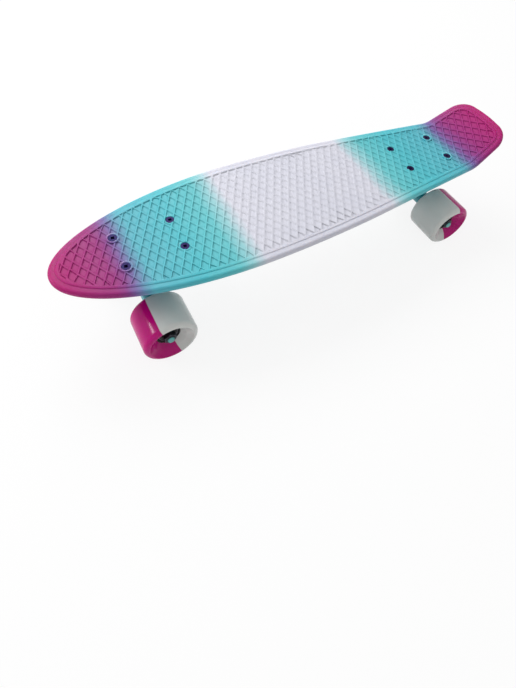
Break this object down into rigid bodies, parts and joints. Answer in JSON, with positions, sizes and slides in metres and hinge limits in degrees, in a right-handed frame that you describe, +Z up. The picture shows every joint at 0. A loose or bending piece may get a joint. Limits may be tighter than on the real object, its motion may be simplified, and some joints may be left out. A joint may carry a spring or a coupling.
{
  "type": "plastic cruiser skateboard",
  "caption": "Short moulded plastic skateboard with a diamond waffle top, rounded nose, upswept kicktail, sprung steering trucks and cast wheels in two colours.",
  "frame": {"origin": "on the ground under the middle of the overall box, with the board standing on its four wheels", "axes": "+X towards the rounded nose, +Y to the board's left, +Z up"},
  "size_m": [0.5778, 0.1646, 0.1236],
  "materials": {
    "deck_plastic": "moulded plastic with a soft sheen, fading from magenta through blue and turquoise to a pale middle",
    "truck_casting": "cast and painted turquoise",
    "zinc_steel": "zinc plated",
    "axle_steel": "ground steel",
    "bearing_steel": "steel ring with dark shields",
    "race_steel": "ground steel",
    "dark_screw": "dark blue coated",
    "cup_urethane": "hard urethane",
    "bushing_urethane": "pale urethane",
    "wheel_urethane": "cast urethane, half white and half magenta"
  },
  "bodies": {
    "board": {"deck": "deck_plastic", "front_baseplate": "truck_casting", "front_pivot_cup": "cup_urethane", "front_kingpin": "zinc_steel", "front_kingpin_nut": "zinc_steel", "front_board_washer": "zinc_steel", "front_board_bushing": "bushing_urethane", "front_road_bushing": "bushing_urethane", "front_road_washer": "zinc_steel", "front_mount_bolt_1": "dark_screw", "front_mount_bolt_2": "dark_screw", "front_mount_bolt_3": "dark_screw", "front_mount_bolt_4": "dark_screw", "front_mount_nut_1": "zinc_steel", "front_mount_nut_2": "zinc_steel", "front_mount_nut_3": "zinc_steel", "front_mount_nut_4": "zinc_steel", "rear_baseplate": "truck_casting", "rear_pivot_cup": "cup_urethane", "rear_kingpin": "zinc_steel", "rear_kingpin_nut": "zinc_steel", "rear_board_washer": "zinc_steel", "rear_board_bushing": "bushing_urethane", "rear_road_bushing": "bushing_urethane", "rear_road_washer": "zinc_steel", "rear_mount_bolt_1": "dark_screw", "rear_mount_bolt_2": "dark_screw", "rear_mount_bolt_3": "dark_screw", "rear_mount_bolt_4": "dark_screw", "rear_mount_nut_1": "zinc_steel", "rear_mount_nut_2": "zinc_steel", "rear_mount_nut_3": "zinc_steel", "rear_mount_nut_4": "zinc_steel"},
    "front_truck": {"front_hanger": "truck_casting", "front_axle": "axle_steel", "front_left_sleeve": "race_steel", "front_right_sleeve": "race_steel", "front_left_axle_nut": "zinc_steel", "front_right_axle_nut": "zinc_steel"},
    "rear_truck": {"rear_hanger": "truck_casting", "rear_axle": "axle_steel", "rear_left_sleeve": "race_steel", "rear_right_sleeve": "race_steel", "rear_left_axle_nut": "zinc_steel", "rear_right_axle_nut": "zinc_steel"},
    "front_left_roller": {"front_left_wheel": "wheel_urethane", "front_left_outer_bearing": "bearing_steel", "front_left_inner_bearing": "bearing_steel"},
    "front_right_roller": {"front_right_wheel": "wheel_urethane", "front_right_outer_bearing": "bearing_steel", "front_right_inner_bearing": "bearing_steel"},
    "rear_left_roller": {"rear_left_wheel": "wheel_urethane", "rear_left_outer_bearing": "bearing_steel", "rear_left_inner_bearing": "bearing_steel"},
    "rear_right_roller": {"rear_right_wheel": "wheel_urethane", "rear_right_outer_bearing": "bearing_steel", "rear_right_inner_bearing": "bearing_steel"}
  },
  "joints": [
    {"name": "front_steer", "type": "hinge", "parent": "board", "child": "front_truck", "pos_m": [0.17312, 0, 0.03952], "axis": [0.9063, 0, 0.4226], "range_deg": [-12, 12], "stiffness_Nm_per_rad": 30, "deforming": ["front_board_bushing", "front_road_bushing"]},
    {"name": "rear_steer", "type": "hinge", "parent": "board", "child": "rear_truck", "pos_m": [-0.16129, 0, 0.03952], "axis": [-0.9063, 0, 0.4226], "range_deg": [-12, 12], "stiffness_Nm_per_rad": 30, "deforming": ["rear_board_bushing", "rear_road_bushing"]},
    {"name": "front_left_spin", "type": "hinge", "parent": "front_truck", "child": "front_left_roller", "pos_m": [0.19925, 0.0588, 0.02963], "axis": [0, 1, 0], "continuous": true},
    {"name": "front_right_spin", "type": "hinge", "parent": "front_truck", "child": "front_right_roller", "pos_m": [0.19925, -0.0588, 0.02963], "axis": [0, 1, 0], "continuous": true},
    {"name": "rear_left_spin", "type": "hinge", "parent": "rear_truck", "child": "rear_left_roller", "pos_m": [-0.18742, 0.0588, 0.02963], "axis": [0, 1, 0], "continuous": true},
    {"name": "rear_right_spin", "type": "hinge", "parent": "rear_truck", "child": "rear_right_roller", "pos_m": [-0.18742, -0.0588, 0.02963], "axis": [0, 1, 0], "continuous": true}
  ]
}
